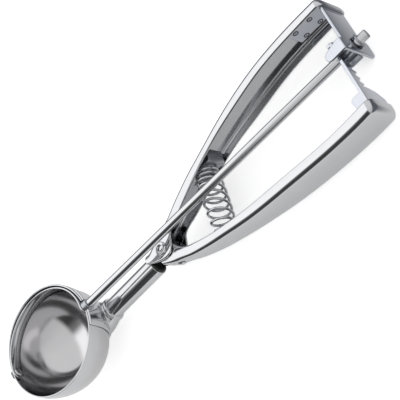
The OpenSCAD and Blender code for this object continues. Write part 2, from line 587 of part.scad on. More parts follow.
bowl();
ferrule();
rod_bush();
pivot_rivet();
stem_collar();
stem_tube();
stem_plug();
fixed_handle();
end_bracket();
bracket_welds();
hinge_pin();
fixed_spring_seat();
fixed_seat_rivet();
spring();
lever_handle();
hinge_spacer();
neck_stiffener();
neck_rivet();
rack();
rack_welds();
lever_spring_seat();
lever_seat_rivet();
rod();
root_peen();
rod_washer();
pinion();
blade();
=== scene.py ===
import bpy
import bmesh
import math
from mathutils import Matrix, Vector


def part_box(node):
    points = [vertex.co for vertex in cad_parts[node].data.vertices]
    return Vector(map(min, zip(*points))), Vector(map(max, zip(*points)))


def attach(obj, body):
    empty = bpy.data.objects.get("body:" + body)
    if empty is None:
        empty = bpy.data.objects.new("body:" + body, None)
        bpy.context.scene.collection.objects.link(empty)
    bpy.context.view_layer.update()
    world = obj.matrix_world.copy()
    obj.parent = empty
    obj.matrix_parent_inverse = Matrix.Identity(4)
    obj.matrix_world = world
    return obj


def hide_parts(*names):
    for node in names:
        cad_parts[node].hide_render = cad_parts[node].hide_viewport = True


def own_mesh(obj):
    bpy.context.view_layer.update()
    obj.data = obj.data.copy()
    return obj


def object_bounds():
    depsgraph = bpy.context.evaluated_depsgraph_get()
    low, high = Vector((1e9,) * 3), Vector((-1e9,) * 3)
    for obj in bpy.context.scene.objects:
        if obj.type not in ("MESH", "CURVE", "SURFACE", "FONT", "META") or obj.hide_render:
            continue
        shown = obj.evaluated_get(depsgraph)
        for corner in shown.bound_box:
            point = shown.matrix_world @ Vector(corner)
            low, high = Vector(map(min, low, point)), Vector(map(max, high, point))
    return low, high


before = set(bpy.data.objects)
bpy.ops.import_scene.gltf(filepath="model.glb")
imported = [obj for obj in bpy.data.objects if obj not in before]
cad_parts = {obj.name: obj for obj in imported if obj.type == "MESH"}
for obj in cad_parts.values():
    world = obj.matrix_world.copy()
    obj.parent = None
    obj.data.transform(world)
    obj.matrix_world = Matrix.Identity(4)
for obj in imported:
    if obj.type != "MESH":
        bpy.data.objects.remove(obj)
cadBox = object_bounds()
mm = 0.001
print("frame loaded")

# sizes that several pieces share, in millimetres and degrees, as in the part's own source
bowlSizes = {"radius": 25.4, "wall": 0.8, "skirt": 2.8, "roll": -3.2}
rodSizes = {"radius": 2.0, "belowRim": 1.85, "pitch": 6.85, "yaw": 3.15, "blade": 24.0, "bladeThick": 0.7,
            "bush": 2.75, "play": 0.06}
stemSizes = {"side": 1.0, "drop": 21.4, "radius": 4.6, "wall": 0.8, "end": 57.0, "collar": 23.4}
hingeSizes = {"along": 66.4, "rise": 0.9, "pin": 2.2, "flare": 3.1, "neck": 5.65}
handleSizes = {"sheet": 1.0, "halfWidth": 9.2, "endRound": 3.0, "strip": 187.0, "stripThick": 1.5,
               "rackAt": 182.5, "rackHalf": 0.75}


def turned(degrees, axis):
    return Matrix.Rotation(math.radians(degrees), 4, axis)


bowlFrame = turned(rodSizes["yaw"], "Z") @ turned(rodSizes["pitch"], "Y") @ turned(bowlSizes["roll"], "X")
rodFrame = bowlFrame @ Matrix.Translation((0, 0, -rodSizes["belowRim"]))
handleFrame = Matrix.Translation((0, stemSizes["side"], -stemSizes["drop"]))
hingeFrame = handleFrame @ Matrix.Translation((hingeSizes["along"], hingeSizes["rise"], 0))
alongX = turned(90, "Y")  # lays a lathe's axis along X


def hexColour(code):
    # display colour to linear light
    parts = [int(code[i:i + 2], 16) / 255 for i in (1, 3, 5)]
    return tuple(c / 12.92 if c <= 0.04045 else ((c + 0.055) / 1.055) ** 2.4 for c in parts) + (1.0,)


def addNode(tree, kind, settings=None, sockets=None):
    node = tree.nodes.new(kind)
    for key, value in (settings or {}).items():
        setattr(node, key, value)
    for key, value in (sockets or {}).items():
        if isinstance(value, bpy.types.NodeSocket):
            tree.links.new(value, node.inputs[key])
        else:
            node.inputs[key].default_value = value
    return node


def maths(tree, operation, *terms):
    return addNode(tree, "ShaderNodeMath", {"operation": operation}, dict(enumerate(terms))).outputs[0]


def eased(tree, value, limits=(0.0, 1.0)):
    # 0 to 1 between two limits, with soft ends
    return addNode(tree, "ShaderNodeMapRange", {"interpolation_type": "SMOOTHSTEP"},
                   {"Value": value, "From Min": limits[0], "From Max": limits[1]}).outputs[0]


def blended(tree, share, first, second):
    return addNode(tree, "ShaderNodeMix", {"data_type": "RGBA"}, {0: share, 6: first, 7: second}).outputs[2]


def noiseOf(tree, place, scale, detail=3.0, roughness=0.5):
    return addNode(tree, "ShaderNodeTexNoise", {}, {
        "Vector": place, "Scale": scale, "Detail": detail, "Roughness": roughness}).outputs[0]


def newMaterial(name):
    material = bpy.data.materials.new(name)
    material.use_nodes = True
    material.node_tree.nodes.clear()
    return material, material.node_tree


def steelMaterial(name, finish):
    # metal with drawn or spun lines, faint smudges and a slightly uneven gloss
    values = {"depthShare": 0.8, "spunDetail": 3.0, "spunRough": 0.6, "detail": 4.0, "rough": 0.55,
              "mix": 0.5, "low": 0.3, "high": 0.7, "relief": 0.01}
    material, tree = newMaterial(name)
    place = addNode(tree, "ShaderNodeTexCoord").outputs["Object"]
    step = 1 / (finish["grain"] * mm)
    if finish.get("spun"):  # lines run round the bowl's own axis
        lay = addNode(tree, "ShaderNodeMapping", {}, {"Vector": place, "Rotation": finish["spun"]})
        split = addNode(tree, "ShaderNodeSeparateXYZ", {}, {"Vector": lay.outputs[0]})
        flat = addNode(tree, "ShaderNodeCombineXYZ", {}, {"X": split.outputs[0], "Y": split.outputs[1]})
        reach = addNode(tree, "ShaderNodeVectorMath", {"operation": "LENGTH"}, {0: flat.outputs[0]})
        depth = maths(tree, "MULTIPLY_ADD", split.outputs[2], values["depthShare"], reach.outputs["Value"])
        grain = addNode(tree, "ShaderNodeTexNoise", {"noise_dimensions": "1D"}, {
            "W": depth, "Scale": step, "Detail": values["spunDetail"],
            "Roughness": values["spunRough"]}).outputs[0]
    else:
        scale = [step, step, step]
        scale[finish.get("along", 0)] = step / finish["stretch"]
        pull = addNode(tree, "ShaderNodeMapping", {}, {"Vector": place, "Scale": scale})
        grain = noiseOf(tree, pull.outputs[0], 1.0, values["detail"], values["rough"])
    smudge = noiseOf(tree, place, 1 / (finish["smudge"] * mm))
    both = addNode(tree, "ShaderNodeMix", {"data_type": "FLOAT"},
                   {0: values["mix"], 2: grain, 3: smudge}).outputs[0]
    gloss = addNode(tree, "ShaderNodeMapRange", {}, {
        "Value": both, "From Min": values["low"], "From Max": values["high"],
        "To Min": finish["gloss"][0], "To Max": finish["gloss"][1]})
    tone = blended(tree, both, hexColour(finish["shade"]), hexColour(finish["colour"]))
    bump = addNode(tree, "ShaderNodeBump", {}, {
        "Height": grain, "Strength": finish["bump"], "Distance": values["relief"] * mm})
    skin = addNode(tree, "ShaderNodeBsdfPrincipled", {}, {
        "Base Color": tone, "Metallic": 1.0, "Roughness": gloss.outputs[0], "Normal": bump.outputs[0]})
    addNode(tree, "ShaderNodeOutputMaterial", {}, {"Surface": skin.outputs[0]})
    return material


def plasticMaterial(name, finish):
    # black moulded plug: soft sheen with a fine leathery grain
    material, tree = newMaterial(name)
    place = addNode(tree, "ShaderNodeTexCoord").outputs["Object"]
    grain = noiseOf(tree, place, 1 / (finish["grain"] * mm))
    tone = blended(tree, grain, hexColour(finish["shade"]), hexColour(finish["colour"]))
    bump = addNode(tree, "ShaderNodeBump", {}, {
        "Height": grain, "Strength": finish["bump"], "Distance": finish["relief"] * mm})
    skin = addNode(tree, "ShaderNodeBsdfPrincipled", {}, {
        "Base Color": tone, "Roughness": finish["gloss"], "IOR": finish["bend"], "Normal": bump.outputs[0]})
    addNode(tree, "ShaderNodeOutputMaterial", {}, {"Surface": skin.outputs[0]})
    return material


# grain and smudge are in millimetres, stretch says how much longer the lines are than wide
steels = {
    # buffed stainless: clear reflections, drawn hairlines along the stem
    "buffedStainless": {"colour": "#cfd0d2", "shade": "#c4c5c8", "gloss": (0.06, 0.13), "grain": 0.25,
                        "stretch": 70, "bump": 0.12, "smudge": 9},
    # mill finish for pinion, seats and small rivets: flat grey with a fine rolled grain
    "milledStainless": {"colour": "#b4b7bc", "shade": "#a5a8ae", "gloss": (0.24, 0.36), "grain": 0.35,
                        "stretch": 25, "bump": 0.25, "smudge": 5, "along": 1},
    # rolled strip for bracket and rack: cool grey, nearly polished
    "rolledStainless": {"colour": "#c9ccd3", "shade": "#b9bcc4", "gloss": (0.06, 0.13), "grain": 0.3,
                        "stretch": 40, "bump": 0.15, "smudge": 6, "along": 1},
    # satin inside of the spun bowl: blurred reflections in rings
    "spunStainless": {"colour": "#cfcecf", "shade": "#c2c1c3", "gloss": (0.1, 0.17), "grain": 0.45,
                      "spun": tuple(bowlFrame.inverted().to_euler("XYZ")), "bump": 0.2, "smudge": 10},
    # bright drawn spring wire: hard gloss, faintly cool grey
    "drawnWire": {"colour": "#cacccf", "shade": "#b5b7bb", "gloss": (0.12, 0.2), "grain": 0.2,
                  "stretch": 20, "bump": 0.15, "smudge": 3, "along": 1},
    # scale on the spot welds: dull and dark
    "weldScale": {"colour": "#6f7176", "shade": "#333539", "gloss": (0.32, 0.5), "grain": 0.5,
                  "stretch": 1, "bump": 0.5, "smudge": 1.2},
}
finishes = {name: steelMaterial(name, values) for name, values in steels.items()}
finishes["mouldedBlack"] = plasticMaterial("mouldedBlack", {
    "colour": "#1b1b1c", "shade": "#101011", "gloss": 0.38, "bend": 1.5, "grain": 0.4, "bump": 0.3,
    "relief": 0.03})
print("materials made")


def placed(name, data):
    piece = bpy.data.objects.new(name, data)
    bpy.context.scene.collection.objects.link(piece)
    return piece


def finished(name, shape, finish):
    # a bmesh becomes a smooth-shaded piece
    mesh = bpy.data.meshes.new(name)
    shape.to_mesh(mesh)
    shape.free()
    mesh.materials.append(finishes[finish])
    mesh.shade_smooth()
    return placed(name, mesh)


def newPiece(name, points, faces, finish, place=None, sharp=32):
    # points in mm, moved by place, into a mesh in metres with its faces outwards
    values = {"merge": 0.001, "sliver": 0.0005}
    shape = bmesh.new()
    corners = [shape.verts.new((place @ Vector(p) if place else Vector(p)) * mm) for p in points]
    for face in faces:
        shape.faces.new([corners[i] for i in face])
    bmesh.ops.remove_doubles(shape, verts=shape.verts, dist=values["merge"] * mm)
    bmesh.ops.dissolve_degenerate(shape, edges=shape.edges, dist=values["sliver"] * mm)
    bmesh.ops.recalc_face_normals(shape, faces=shape.faces)
    if shape.calc_volume(signed=True) < 0:
        bmesh.ops.reverse_faces(shape, faces=shape.faces)
    piece = finished(name, shape, finish)
    piece.data.set_sharp_from_angle(angle=math.radians(sharp))
    return piece


def settle(piece, sharp=None):
    # turns the piece's modifiers into its plain mesh
    evaluated = piece.evaluated_get(bpy.context.evaluated_depsgraph_get())
    mesh = bpy.data.meshes.new_from_object(evaluated)
    piece.modifiers.clear()
    old, piece.data = piece.data, mesh
    bpy.data.meshes.remove(old)
    if sharp:
        mesh.shade_smooth()
        mesh.set_sharp_from_angle(angle=math.radians(sharp))
    return piece


def fromNode(name, node, finish, edge, cuts, held):
    # merged copy of a CAD piece, with its cut edges broken
    values = {"merge": 0.002, "flat": 0.8, "sharper": 40}
    shape = bmesh.new()
    shape.from_mesh(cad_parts[node].data)
    bmesh.ops.remove_doubles(shape, verts=shape.verts, dist=values["merge"] * mm)
    bmesh.ops.dissolve_limit(shape, angle_limit=math.radians(values["flat"]), verts=shape.verts,
                             edges=shape.edges)
    piece = finished(name, shape, finish)
    bevel = piece.modifiers.new("edges", "BEVEL")
    bevel.width, bevel.segments, bevel.limit_method = edge * mm, cuts, "ANGLE"
    bevel.use_clamp_overlap = held
    bevel.angle_limit, bevel.miter_outer = math.radians(values["sharper"]), "MITER_ARC"
    weight = piece.modifiers.new("shade", "WEIGHTED_NORMAL")
    weight.keep_sharp = True
    return settle(piece)


def rounded(outline, cuts=4):
    # corners given as (radius, height, fillet) become small arcs
    made = []
    for i, corner in enumerate(outline):
        if len(corner) < 3 or i in (0, len(outline) - 1):
            made.append(Vector(corner[:2]))
            continue
        here, before, after = (Vector(outline[k][:2]) for k in (i, i - 1, i + 1))
        start = here + (before - here).normalized() * corner[2]
        end = here + (after - here).normalized() * corner[2]
        for k in range(cuts + 1):
            t = k / cuts
            made.append(start * (1 - t) ** 2 + here * 2 * t * (1 - t) + end * t ** 2)
    return made


def moved(outline, height, radius=0):
    # an outline drawn from its own zero, at its height on the axis and its radius
    return [(radius + out, height + up, *fillet) for out, up, *fillet in outline]


def lathe(name, outline, finish, place, steps=64, loop=False, sharp=32):
    # outline of (radius, height) turned round local Z
    outline = rounded(outline)
    count = len(outline)
    points = [(p[0] * math.cos(a), p[0] * math.sin(a), p[1])
              for a in (2 * math.pi * i / steps for i in range(steps)) for p in outline]
    faces = [(i * count + j, ((i + 1) % steps) * count + j,
              ((i + 1) % steps) * count + (j + 1) % count, i * count + (j + 1) % count)
             for i in range(steps) for j in range(count if loop else count - 1)]
    return newPiece(name, points, faces, finish, place, sharp=sharp)


def drum(name, radius, span, place, steps):
    start, end = span
    return lathe(name, [(0, start), (radius, start), (radius, end), (0, end)], "buffedStainless",
                 place @ alongX, steps)


def blockOf(low, high):
    points = [(x, y, z) for x in (low[0], high[0]) for y in (low[1], high[1]) for z in (low[2], high[2])]
    return points, [(0, 1, 3, 2), (4, 6, 7, 5), (0, 4, 5, 1), (2, 3, 7, 6), (0, 2, 6, 4), (1, 5, 7, 3)]


def skinOf(rings):
    # faces over rows of rings with equal counts, closed at both ends by strips
    count, rows = len(rings[0]), len(rings)
    points = [p for ring in rings for p in ring]
    faces = [(i * count + j, i * count + (j + 1) % count,
              (i + 1) * count + (j + 1) % count, (i + 1) * count + j)
             for i in range(rows - 1) for j in range(count)]
    for base in (0, (rows - 1) * count):
        faces += [(base + j, base + j + 1, base + count - 2 - j, base + count - 1 - j)
                  for j in range(count // 2 - 1)]
    return points, faces


def fix(piece, body, node):
    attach(piece, body)
    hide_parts(node)


def makeCopies(rows):
    # pieces that keep their CAD shape: edge is the width of the rounding, held keeps it from overlapping
    for name, node, body, slot, finish, edge, cuts, held in rows:
        fix(fromNode(name, node, finish, edge, cuts, held), body, node)


def makeBowl():
    values = {"rimRound": 0.38, "steps": 160, "cuts": 40, "band": 0.3, "slotPast": 2, "slotTop": 4,
              "sharp": 60}
    outer, inner = bowlSizes["radius"], bowlSizes["radius"] - bowlSizes["wall"]
    low = -bowlSizes["skirt"]
    arc = [math.radians(90 * i / values["cuts"]) for i in range(values["cuts"] + 1)]
    outline = [(outer * math.cos(a), low - outer * math.sin(a)) for a in reversed(arc)]
    outline += [(outer, 0, values["rimRound"]), (inner, 0, values["rimRound"])]
    outline += [(inner * math.cos(a), low - inner * math.sin(a)) for a in arc]
    piece = lathe("bowlShell", outline, "buffedStainless", bowlFrame, values["steps"], sharp=values["sharp"])
    piece.data.materials.append(finishes["spunStainless"])
    back = bowlFrame.inverted()
    for face in piece.data.polygons:  # the inside keeps its spun finish
        spot = back @ (face.center / mm)
        away = (spot - Vector((0, 0, min(spot.z, low)))).length
        face.material_index = 1 if away < (outer + inner) / 2 and spot.z < -values["band"] else 0
    slotCut = newPiece("slotCut", *blockOf(
        (inner - values["slotPast"], -rodSizes["bush"], -rodSizes["belowRim"]),
        (outer + values["slotPast"], rodSizes["bush"], values["slotTop"])), "buffedStainless", bowlFrame)
    cut = piece.modifiers.new("slot", "BOOLEAN")
    cut.operation, cut.object, cut.solver = "DIFFERENCE", slotCut, "EXACT"
    settle(piece, values["sharp"])
    bpy.data.objects.remove(slotCut)
    fix(piece, "frame", "bowl")


# a saddle on the bowl that runs into a socket for the tube
def makeFerrule():
    # each row of the socket: along, and how far it stands off the tube at the sides, top and bottom
    values = {"saddle": 0.9, "under": 2.5, "spread": 22, "reach": 52, "cuts": 24, "rim": -0.3,
              "cell": 0.25, "passes": 9, "press": 0.5, "seam": 0.18, "around": 72, "sharp": 50,
              "socket": [(23.4, 0.95, 0.95, 0.95), (22.3, 1, 1.05, 0.95), (20.9, 1.7, 1.9, 1),
                         (19.2, 2.8, 3.6, 1.1), (17, 4, 5.8, 1), (14, 4.9, 7.4, 0.4),
                         (11, 4.9, 7.8, -0.6), (8, 4.5, 7.8, -2)],
              "ballTop": 4, "ballSteps": 160, "bore": (5, 40), "boreSteps": 64, "hole": (20, 34),
              "holeSteps": 48, "notch": (24, 34), "notchRise": (-0.9, 6)}
    outer, inner = bowlSizes["radius"] + values["saddle"], bowlSizes["radius"] - values["under"]
    low, rim = -bowlSizes["skirt"], values["rim"]
    bend = [math.radians(values["reach"] * j / values["cuts"]) for j in range(values["cuts"] + 1)]
    section = [(outer, rim)] + [(outer * math.cos(b), low - outer * math.sin(b)) for b in bend]
    section += [(inner * math.cos(b), low - inner * math.sin(b)) for b in reversed(bend)] + [(inner, rim)]
    rings = []
    for i in range(values["cuts"] + 1):
        turn = math.radians(-values["spread"] + 2 * values["spread"] * i / values["cuts"])
        rings.append([(r * math.cos(turn), r * math.sin(turn), z) for r, z in section])
    saddle = newPiece("ferrule", *skinOf(rings), "buffedStainless", bowlFrame)
    rings = []
    for along, side, top, bottom in values["socket"]:
        high, deep = stemSizes["radius"] + top, -stemSizes["radius"] - bottom
        wide = stemSizes["radius"] + side
        rings.append([(along, wide * math.cos(a), (high + deep) / 2 + (high - deep) / 2 * math.sin(a))
                      for a in (2 * math.pi * k / values["around"] for k in range(values["around"]))])
    socket = newPiece("socketPart", *skinOf(rings), "buffedStainless", handleFrame)
    ballSize = bowlSizes["radius"] + values["seam"]  # a fine dark line shows where the saddle ends
    curve = [(ballSize * math.cos(math.radians(a)), low + ballSize * math.sin(math.radians(a)))
             for a in range(-88, 1, 2)]
    top = values["ballTop"]
    ball = lathe("ballCut", [(0, low - ballSize)] + curve + [(ballSize, top), (0, top)], "buffedStainless",
                 bowlFrame, values["ballSteps"])
    tube = drum("tubeCut", stemSizes["radius"], values["bore"], handleFrame, values["boreSteps"])
    (start, end), (floor, top) = values["notch"], values["notchRise"]
    notch = newPiece("notchCut", *blockOf((start, -rodSizes["bush"], floor), (end, rodSizes["bush"], top)),
                     "buffedStainless", rodFrame)
    hole = drum("holeCut", rodSizes["bush"], values["hole"], rodFrame, values["holeSteps"])
    for kind, other in (("UNION", socket), ("REMESH", None), ("SMOOTH", None), ("DIFFERENCE", ball),
                        ("DIFFERENCE", tube), ("DIFFERENCE", hole), ("DIFFERENCE", notch)):
        if kind == "REMESH":
            step = saddle.modifiers.new("cells", "REMESH")
            step.mode, step.voxel_size = "VOXEL", values["cell"] * mm
        elif kind == "SMOOTH":
            step = saddle.modifiers.new("press", "SMOOTH")
            step.factor, step.iterations = values["press"], values["passes"]
        else:
            step = saddle.modifiers.new("cut", "BOOLEAN")
            step.operation, step.object, step.solver = kind, other, "EXACT"
    settle(saddle, values["sharp"])
    for tool in (socket, ball, tube, notch, hole):
        bpy.data.objects.remove(tool)
    fix(saddle, "frame", "ferrule")


def makeStem():
    values = {"start": 19, "edge": 0.25, "steps": 96,
              "collar": [(0, 0), (0.95, 0), (1.15, 0.45, 0.3), (0.9, 1.1, 0.3), (0, 1.5)],
              "fit": 0.01, "plugDeep": 6, "lift": 0.02, "crown": 1.2, "plugSteps": 72,
              "plug": [(-0.25, 0.02, 0.1), (-0.25, 0.6, 0.3), (-0.75, 1.0, 0.3)]}
    r, end = stemSizes["radius"], stemSizes["end"]
    bore = r - stemSizes["wall"]
    place = handleFrame @ alongX
    start, edge = values["start"], values["edge"]
    outline = [(bore, start), (r, start), (r, end, edge), (bore, end, edge)]
    tube = lathe("stemTube", outline, "buffedStainless", place, values["steps"], loop=True, sharp=45)
    fix(tube, "frame", "stem_tube")
    collar = lathe("stemCollar", moved(values["collar"], stemSizes["collar"], r), "buffedStainless", place,
                   values["steps"], loop=True, sharp=50)
    fix(collar, "frame", "stem_collar")
    inside, deep = bore - values["fit"], end - values["plugDeep"]
    outline = [(0, deep), (inside, deep), (inside, end + values["lift"])]
    outline += moved(values["plug"], end, r) + [(0, end + values["crown"])]
    plug = lathe("stemPlug", outline, "mouldedBlack", place, values["plugSteps"])
    fix(plug, "frame", "stem_plug")


# the two handles are pressed channels with a rounded end wall
# along, outer edge, lip, share of the full width, corner radius
fixedStations = [
    (56, 5.6, 0.2, 0, 4.6), (58.5, 5.6, -1.2, 0, 4.6), (62, 6.2, -2.8, 0, 3.6), (66, 7.4, -3.9, 0, 3),
    (69, 8.3, -3.9, 0, 2.8), (71, 9, -2.6, 0, 2.6), (72.5, 9.5, 0.2, 0, 2.6), (74, 10, 3.4, 0, 2.6),
    (77, 11.2, 5.2, 0, 2.6), (82, 13.2, 6.9, 0.12, 2.6), (88, 15.4, 9.2, 0.24, 2.6),
    (96, 18.1, 12.3, 0.38, 2.6), (104, 20.4, 15.4, 0.47, 2.6), (112, 22.7, 17.9, 0.55, 2.6),
    (120, 24.8, 19.9, 0.68, 2.6), (130, 27, 21.8, 0.85, 2.6), (140, 28.9, 23.6, 0.95, 2.6),
    (150, 30.3, 25.2, 1, 2.6), (160, 31.1, 26.1, 1, 2.6), (172, 31.4, 26.4, 1, 2.6),
    (187, 31, 26.4, 1, 2.6), (191, 30.8, 26.3, 1, 2.6)]
leverStations = [
    (62.6, -4.6, 0.2, 0, 1.4), (63.5, -5.2, 3.2, 0, 1.6), (66.4, -6.9, 4.5, 0, 2), (69.2, -8.2, 3.3, 0, 2.2),
    (71, -8.9, 0.8, 0, 2.4), (74, -10.2, -3.4, 0.04, 2.6), (78, -11.9, -6.3, 0.12, 2.6),
    (83, -13.6, -8.4, 0.26, 2.6), (90, -15.6, -10.8, 0.42, 2.6), (98, -17.4, -12.8, 0.54, 2.6),
    (106, -19.1, -14.3, 0.62, 2.6), (115, -20.7, -15.7, 0.7, 2.6), (125, -22.1, -16.9, 0.84, 2.6),
    (135, -23.2, -17.9, 0.96, 2.6), (145, -24.1, -18.8, 1, 2.6), (155, -24.8, -19.5, 1, 2.6),
    (165, -25.2, -19.9, 1, 2.6), (175, -25.2, -19.7, 1, 2.6), (186, -24.6, -19.1, 1, 2.6)]
columns = {"outer": 1, "lip": 2, "width": 3, "corner": 4}


def slope(table, i, k):
    a, b = max(i - 1, 0), min(i + 1, len(table) - 1)
    return (table[b][k] - table[a][k]) / (table[b][0] - table[a][0])


def read(table, x, column):
    # smooth curve through one column of the stations
    k = columns[column]
    i = max([j for j in range(len(table) - 1) if x >= table[j][0]], default=0)
    h = table[i + 1][0] - table[i][0]
    u = (x - table[i][0]) / h
    return ((2 * u ** 3 - 3 * u ** 2 + 1) * table[i][k] + (u ** 3 - 2 * u ** 2 + u) * h * slope(table, i, k)
            + (3 * u ** 2 - 2 * u ** 3) * table[i + 1][k] + (u ** 3 - u ** 2) * h * slope(table, i + 1, k))


# one closed section of a channel: side is 1 with the web towards +Y and -1 towards -Y
def channelRing(x, outer, lip, half, corner, side, shut):
    values = {"cuts": 8, "web": 0.3, "inside": 0.2, "lipOut": 0.76, "lipIn": 0.18, "lipShare": 0.9,
              "gap": 0.02, "lipTurns": (0, 22, 45, 68, 90)}
    sheet = handleSizes["sheet"]
    deep = abs(outer - lip)  # towards the end wall the section gets shallower, and its roundings with it
    corner = min(corner, deep - values["web"])
    bends = [math.radians(90 * i / values["cuts"]) for i in range(values["cuts"] + 1)]
    outerLip = min(values["lipOut"] * sheet, values["lipShare"] * (deep - corner))

    def path(reach, inward, lipRound, radius):
        start = [(lip + side * lipRound * (1 - math.cos(a)), reach - inward * lipRound * (1 - math.sin(a)))
                 for a in (math.radians(t) for t in values["lipTurns"])]
        arc = [(outer - side * corner + side * radius * math.sin(b), half - corner + radius * math.cos(b))
               for b in bends]
        near = start + arc
        return near + [(y, -z) for y, z in reversed(arc)] + [(y, -z) for y, z in reversed(start)]

    out = path(half, 1, outerLip, corner)
    into = path(half - sheet, -1, values["lipIn"] * sheet, max(corner - sheet, values["inside"]))
    if shut:  # behind the end wall the section is filled
        edge = out[0][1] - values["gap"]
        into = [(lip, edge * (1 - 2 * j / (len(into) - 1))) for j in range(len(into))]
    return [(x, y, z) for y, z in out] + [(x, y, z) for y, z in reversed(into)]


def makeChannel(name, table, side, neck, end, body, node):
    # the end wall is rounded in two runs: open while the sheet still has an inside, then shut
    values = {"step": 1.0, "fineStep": 0.35, "fineTo": 80, "short": 0.4, "openCuts": 6, "shutCuts": 9,
              "shutAfter": 1.5, "shutTo": 84, "leastRound": 0.25, "sharp": 48}
    sheet, bigRound = handleSizes["sheet"], handleSizes["endRound"]
    stops, x = [], table[0][0]
    while x < end - bigRound - values["short"]:
        stops.append((x, 0, False))
        x += values["fineStep"] if x < values["fineTo"] else values["step"]
    openTo = math.degrees(math.asin((bigRound - sheet) / bigRound))
    turns = [(openTo * i / values["openCuts"], False) for i in range(values["openCuts"] + 1)]
    turns += [(openTo + values["shutAfter"] + (values["shutTo"] - openTo) * i / values["shutCuts"], True)
              for i in range(values["shutCuts"] + 1)]
    for turn, shut in turns:
        a = math.radians(turn)
        stops.append((end - bigRound + bigRound * math.sin(a), bigRound - bigRound * math.cos(a), shut))
    rings = []
    for x, drawn, shut in stops:
        half = neck + (handleSizes["halfWidth"] - neck) * read(table, x, "width")
        corner = max(read(table, x, "corner"), sheet + values["leastRound"])
        rings.append(channelRing(x, read(table, x, "outer") - side * drawn, read(table, x, "lip"),
                                 half - drawn, corner, side, shut))
    piece = newPiece(name, *skinOf(rings), "buffedStainless", handleFrame, sharp=values["sharp"])
    fix(piece, body, node)


def makeHandles():
    values = {"stripGap": 0.05, "rackGap": 0.15, "neckGap": 0.35}
    sheet, neck = handleSizes["sheet"], hingeSizes["neck"]
    fixedEnd = handleSizes["strip"] + handleSizes["stripThick"] + sheet + values["stripGap"]
    leverEnd = handleSizes["rackAt"] + handleSizes["rackHalf"] + sheet + values["rackGap"]
    makeChannel("fixedHandle", fixedStations, 1, neck, fixedEnd, "frame", "fixed_handle")
    makeChannel("leverHandle", leverStations, -1, neck - sheet - values["neckGap"], leverEnd, "lever",
                "lever_handle")


def makePins():
    # rivet outlines are (radius, height, fillet) from the blade's inner face and from the bowl's outside
    values = {"pinWall": 0.85, "pinSteps": 80, "rivetSteps": 48, "bush": (24.3, 27), "bushSteps": 56,
              "flared": [("hole", 0, 0.55, 0.3), ("hole", 0.5, 0.88, 0.3), ("pin", 0.55, 0.9, 0.35),
                         ("flare", 0.05, 0.35, 0.2)],
              "rivetIn": [(0, 0.92), (1.5, 0.9, 0.3), (2.2, 0.5, 0.2), (2.2, 0.12), (1.2, 0.12)],
              "rivetOut": [(1.2, -0.02), (2.5, -0.02), (2.4, -0.42, 0.2), (1.9, -0.87, 0.3),
                           (1, -1.17, 0.3), (0, -1.27)]}
    pin, flare, neck = hingeSizes["pin"], hingeSizes["flare"], hingeSizes["neck"]
    radii = {"hole": pin - values["pinWall"], "pin": pin, "flare": flare}
    half = [(radii["hole"], 0)]
    half += [(radii[base] + out, neck + up, fillet) for base, out, up, fillet in values["flared"]]
    half += [(flare, neck), (pin, neck), (pin, 0)]
    outline = half + [(p[0], -p[1], *p[2:]) for p in reversed(half[1:-1])]
    hinge = lathe("hingePin", outline, "buffedStainless", hingeFrame, values["pinSteps"], loop=True, sharp=45)
    fix(hinge, "frame", "hinge_pin")
    place = rodFrame @ alongX
    head = moved(values["rivetIn"], rodSizes["bladeThick"] - rodSizes["blade"])
    head += moved(values["rivetOut"], -bowlSizes["radius"])
    pivot = lathe("pivotRivet", head, "buffedStainless", place, values["rivetSteps"])
    fix(pivot, "frame", "pivot_rivet")
    inside, (start, end) = rodSizes["radius"] + rodSizes["play"], values["bush"]
    outline = [(inside, start), (rodSizes["bush"], start), (rodSizes["bush"], end, 0.2), (inside, end, 0.1)]
    bush = lathe("rodBush", outline, "milledStainless", place, values["bushSteps"], loop=True)
    fix(bush, "frame", "rod_bush")
    makeCopies((
        ("neckRivet", "neck_rivet", "lever", "polished_steel", "buffedStainless", 0.12, 2, True),
        ("fixedSeatRivet", "fixed_seat_rivet", "frame", "satin_steel", "milledStainless", 0.12, 2, True),
        ("leverSeatRivet", "lever_seat_rivet", "lever", "satin_steel", "milledStainless", 0.12, 2, True),
        ("hingeSpacer", "hinge_spacer", "lever", "satin_steel", "milledStainless", 0.12, 2, True)))


def makeRod():
    values = {"root": 1.4, "start": 23.0, "pastStrip": 5.2, "edge": 0.35, "steps": 72, "peenSteps": 40,
              "peen": [(0, 0), (2.3, 0), (2.2, -0.4, 0.2), (1.6, -0.78, 0.3), (0, -0.95)]}
    start, way = rodFrame.translation, rodFrame.to_3x3() @ Vector((1, 0, 0))
    strip = handleSizes["strip"] + handleSizes["stripThick"]  # the rod ends a little past this plane
    tail = (way * ((strip - start.x) / way.x)).length + values["pastStrip"]
    r, root, blade, place = rodSizes["radius"], values["root"], rodSizes["blade"], rodFrame @ alongX
    outline = [(0, values["start"]), (root, values["start"]), (root, blade), (r, blade),
               (r, tail, values["edge"]), (0, tail)]
    fix(lathe("longRod", outline, "buffedStainless", place, values["steps"]), "sweep", "rod")
    peen = lathe("rootPeen", moved(values["peen"], blade - rodSizes["bladeThick"]), "buffedStainless", place,
                 values["peenSteps"])
    fix(peen, "sweep", "root_peen")
    makeCopies((
        ("rodWasher", "rod_washer", "sweep", "satin_steel", "milledStainless", 0.12, 2, True),
        ("pinion", "pinion", "sweep", "satin_steel", "milledStainless", 0.1, 2, True)))


